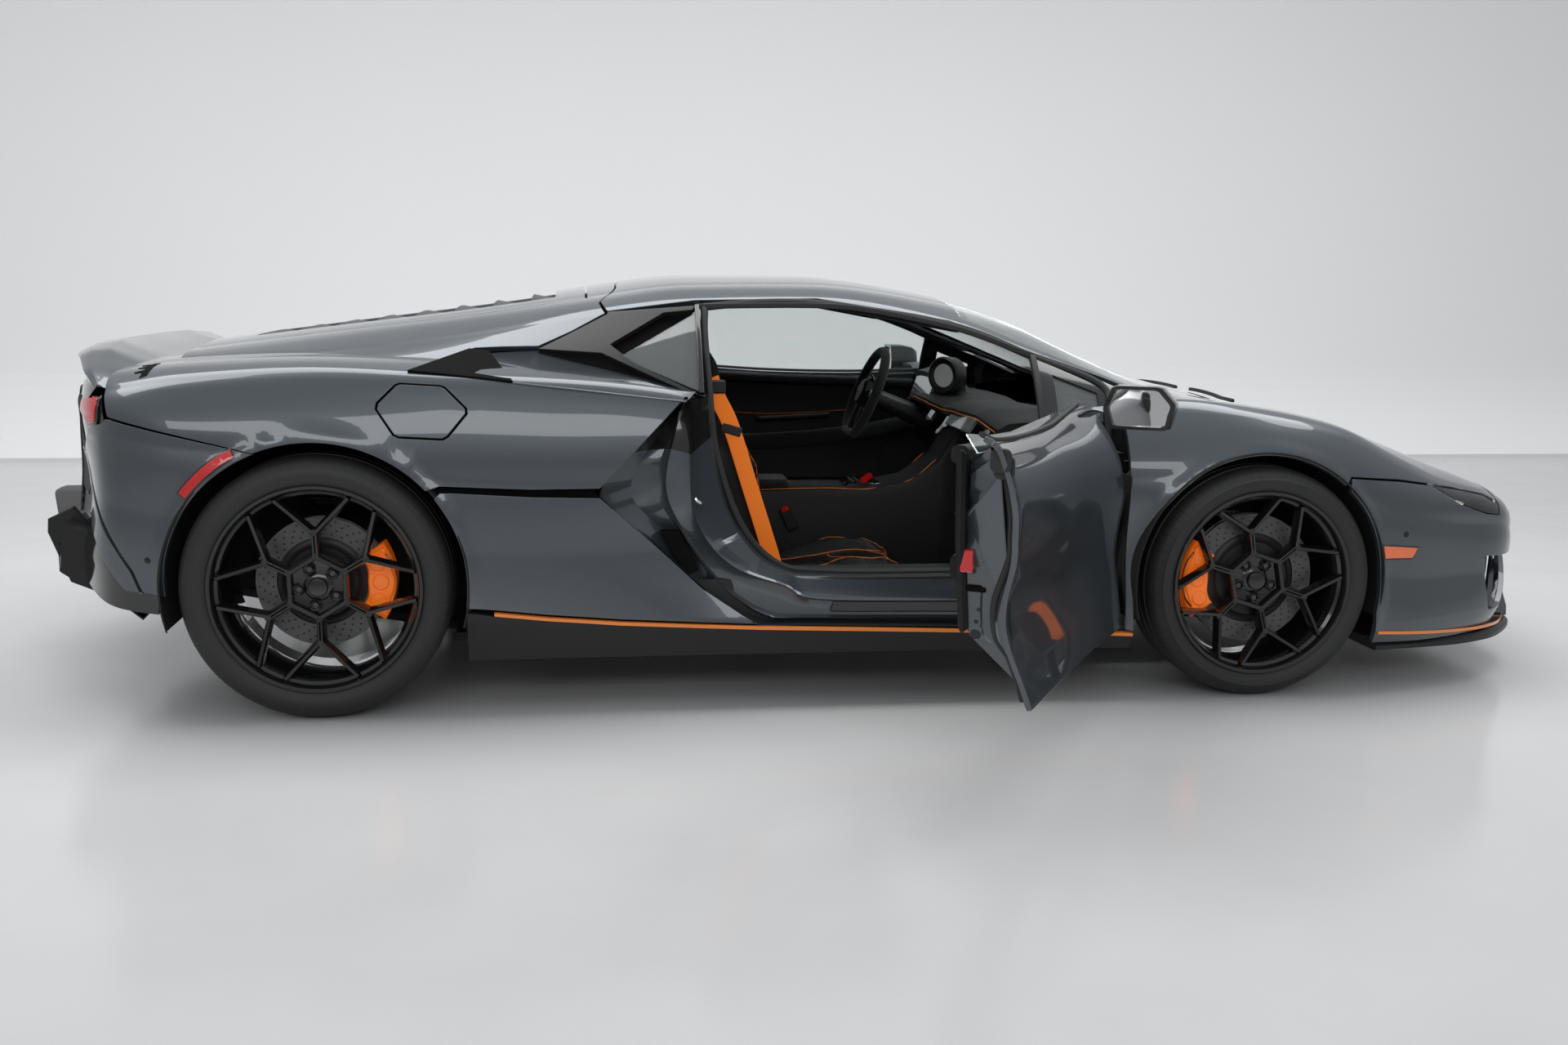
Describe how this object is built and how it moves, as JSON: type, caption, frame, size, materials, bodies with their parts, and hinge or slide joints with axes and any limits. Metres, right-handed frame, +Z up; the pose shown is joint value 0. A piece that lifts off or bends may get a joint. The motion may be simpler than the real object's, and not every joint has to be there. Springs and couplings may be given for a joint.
{
  "type": "supercar",
  "caption": "Low two-seat mid-engined sports car with hinged doors and lids, steered front wheels and turning wheels.",
  "frame": {"origin": "on the floor, on the centre plane, midway between the axles", "axes": "+X forwards, +Y to the left, +Z up"},
  "size_m": [4.706, 3.1084, 1.2],
  "materials": {
    "paint": "gloss metallic dark grey",
    "accent": "gloss orange line",
    "black_plastic": "satin",
    "gloss_black": "gloss",
    "tub_black": "satin",
    "leather": "black, orange stitching",
    "glass": "clear",
    "dark_glass": "dark",
    "lamp": "clear lens",
    "red_lamp": "red lens",
    "tyre": "matt",
    "wheel": "gloss black",
    "caliper": "gloss orange",
    "iron": "machined",
    "steel": "satin",
    "alloy": "cast"
  },
  "bodies": {
    "body_shell": {"tub": "tub_black", "luggage_box": "black_plastic", "front_bumper": "paint", "splitter": "black_plastic", "fender_left": "paint", "fender_right": "paint", "sills": "black_plastic", "quarter_left": "paint", "quarter_right": "paint", "rear_bumper": "paint", "diffuser": "black_plastic", "spoiler": "paint", "engine_block": "alloy", "roof_frame": "paint", "windscreen": "glass", "fixed_glass": "dark_glass", "seats": "leather", "dashboard": "black_plastic", "headlamps": "lamp", "taillamps": "red_lamp", "exhaust": "steel", "suspension_front": "alloy", "suspension_rear": "alloy", "calipers_rear": "caliper"},
    "bonnet_panel": {"bonnet": "paint"},
    "engine_cover": {"engine_lid": "paint"},
    "filler_flap": {"fuel_flap": "paint"},
    "hand_wheel": {"steering_wheel": "leather"},
    "left_door": {"door_left": "paint", "door_glass_left": "glass", "mirror_left": "paint"},
    "right_door": {"door_right": "paint", "door_glass_right": "glass", "mirror_right": "paint"},
    "left_hub": {"knuckle_front_left": "iron", "caliper_front_left": "caliper"},
    "right_hub": {"knuckle_front_right": "iron", "caliper_front_right": "caliper"},
    "front_left_wheel": {"rim_front_left": "wheel", "tyre_front_left": "tyre"},
    "front_right_wheel": {"rim_front_right": "wheel", "tyre_front_right": "tyre"},
    "rear_left_wheel": {"rim_rear_left": "wheel", "tyre_rear_left": "tyre"},
    "rear_right_wheel": {"rim_rear_right": "wheel", "tyre_rear_right": "tyre"}
  },
  "joints": [
    {"name": "door_left_hinge", "type": "hinge", "parent": "body_shell", "child": "left_door", "pos_m": [0.923, 0.966, 0.5], "axis": [0, 0, -1], "range_deg": [0, 66]},
    {"name": "door_right_hinge", "type": "hinge", "parent": "body_shell", "child": "right_door", "pos_m": [0.923, -0.966, 0.5], "axis": [0, 0, 1], "range_deg": [-60, 6]},
    {"name": "bonnet_hinge", "type": "hinge", "parent": "body_shell", "child": "bonnet_panel", "pos_m": [1.502, 0, 0.806], "axis": [0, -1, 0], "range_deg": [0, 60]},
    {"name": "engine_lid_hinge", "type": "hinge", "parent": "body_shell", "child": "engine_cover", "pos_m": [-0.6, 0, 1.17], "axis": [0, 1, 0], "range_deg": [0, 45]},
    {"name": "fuel_flap_hinge", "type": "hinge", "parent": "body_shell", "child": "filler_flap", "pos_m": [-0.976, -0.966, 0.83], "axis": [0, 0, 1], "range_deg": [0, 70]},
    {"name": "steer_left", "type": "hinge", "parent": "body_shell", "child": "left_hub", "pos_m": [1.329, 0.834, 0.34], "axis": [0, 0, 1], "range_deg": [-30, 30]},
    {"name": "steer_right", "type": "hinge", "parent": "body_shell", "child": "right_hub", "pos_m": [1.329, -0.834, 0.34], "axis": [0, 0, 1], "range_deg": [-30, 30]},
    {"name": "steering_wheel_turn", "type": "hinge", "parent": "body_shell", "child": "hand_wheel", "pos_m": [0.403, 0.37, 0.78], "axis": [-0.9272, 0, 0.3746], "range_deg": [-400, 400]},
    {"name": "wheel_front_left_spin", "type": "hinge", "parent": "left_hub", "child": "front_left_wheel", "pos_m": [1.329, 0.861, 0.34], "axis": [0, 1, 0], "continuous": true},
    {"name": "wheel_front_right_spin", "type": "hinge", "parent": "right_hub", "child": "front_right_wheel", "pos_m": [1.329, -0.861, 0.34], "axis": [0, 1, 0], "continuous": true},
    {"name": "wheel_rear_left_spin", "type": "hinge", "parent": "body_shell", "child": "rear_left_wheel", "pos_m": [-1.329, 0.835, 0.36], "axis": [0, 1, 0], "continuous": true},
    {"name": "wheel_rear_right_spin", "type": "hinge", "parent": "body_shell", "child": "rear_right_wheel", "pos_m": [-1.329, -0.835, 0.36], "axis": [0, 1, 0], "continuous": true}
  ],
  "couplings": [
    {"joint": "steer_right", "follows": "steer_left", "ratio": 1},
    {"joint": "steering_wheel_turn", "follows": "steer_left", "ratio": 13}
  ]
}
